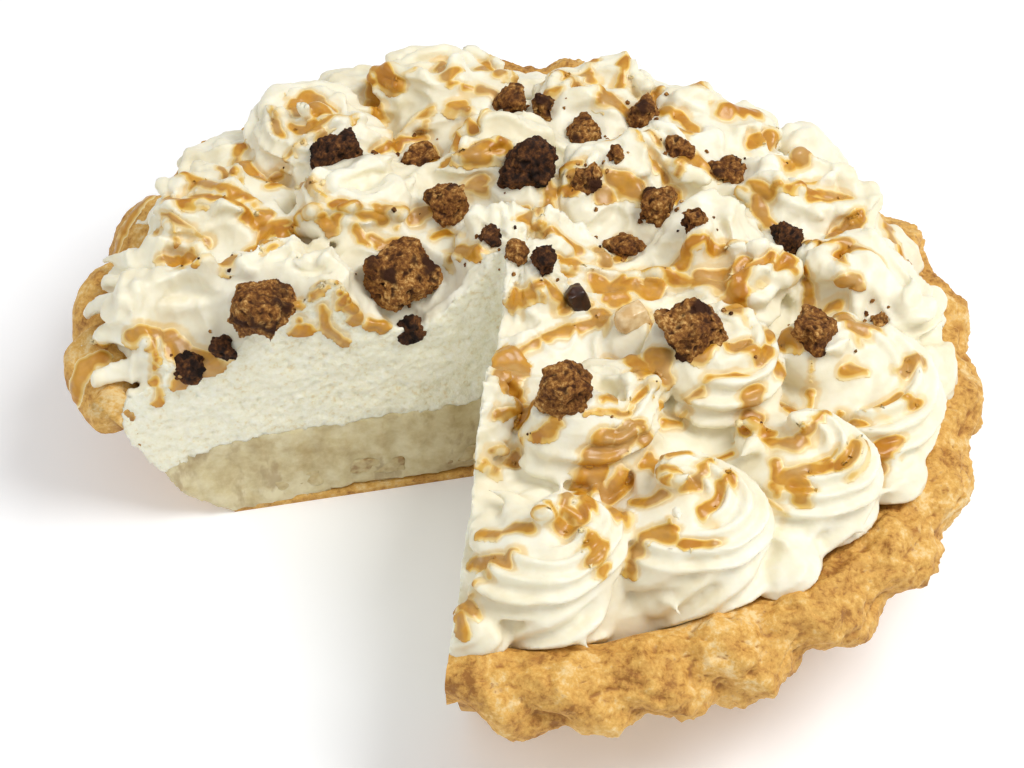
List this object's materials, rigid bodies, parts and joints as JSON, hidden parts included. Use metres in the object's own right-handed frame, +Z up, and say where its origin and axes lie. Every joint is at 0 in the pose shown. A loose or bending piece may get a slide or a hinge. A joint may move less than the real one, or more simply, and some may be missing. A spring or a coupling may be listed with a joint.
{
  "type": "banana cream pie",
  "caption": "Round banana cream pie with a crimped pastry crust, custard and whipped cream layers, piped rosettes with cake pieces, and one slice taken out.",
  "frame": {"origin": "centre of the pie on the surface that it stands on", "axes": "+Z up through the pie's middle; the missing slice opens towards -X and -Y"},
  "size_m": [0.2479, 0.2486, 0.0982],
  "materials": {
    "baked_crust": "dry golden baked pastry",
    "banana_custard": "smooth moist custard",
    "whipped_cream": "cut whipped cream with fine pores",
    "piped_cream": "smooth piped cream with caramel sauce",
    "banana_flesh": "soft ripe banana",
    "brown_cake": "crumbly dark brown cake",
    "dark_chocolate": "smooth dark chocolate",
    "pale_toffee": "pale glossy toffee"
  },
  "bodies": {
    "root": {"crust": "baked_crust", "custard_filling": "banana_custard", "whipped_cream": "whipped_cream", "piped_cream": "piped_cream", "banana_slice_1": "banana_flesh", "banana_slice_2": "banana_flesh", "banana_slice_3": "banana_flesh", "banana_slice_4": "banana_flesh", "banana_slice_5": "banana_flesh", "cake_chunk_01": "brown_cake", "cake_chunk_02": "brown_cake", "cake_chunk_03": "brown_cake", "cake_chunk_04": "brown_cake", "cake_chunk_05": "brown_cake", "cake_chunk_06": "brown_cake", "cake_chunk_07": "brown_cake", "cake_chunk_08": "brown_cake", "cake_chunk_09": "brown_cake", "cake_chunk_10": "brown_cake", "cake_chunk_11": "brown_cake", "cake_chunk_12": "brown_cake", "cake_chunk_13": "brown_cake", "cake_chunk_14": "brown_cake", "cake_chunk_15": "brown_cake", "cake_chunk_16": "brown_cake", "cake_chunk_17": "brown_cake", "cake_chunk_18": "brown_cake", "cake_chunk_19": "brown_cake", "cake_chunk_20": "brown_cake", "cake_chunk_21": "brown_cake", "cake_chunk_22": "brown_cake", "cake_chunk_23": "brown_cake", "cake_chunk_24": "brown_cake", "cake_chunk_25": "brown_cake", "cake_chunk_26": "brown_cake", "cake_chunk_27": "brown_cake", "cake_chunk_28": "brown_cake", "chocolate_chip": "dark_chocolate", "toffee_piece": "pale_toffee"}
  },
  "joints": []
}
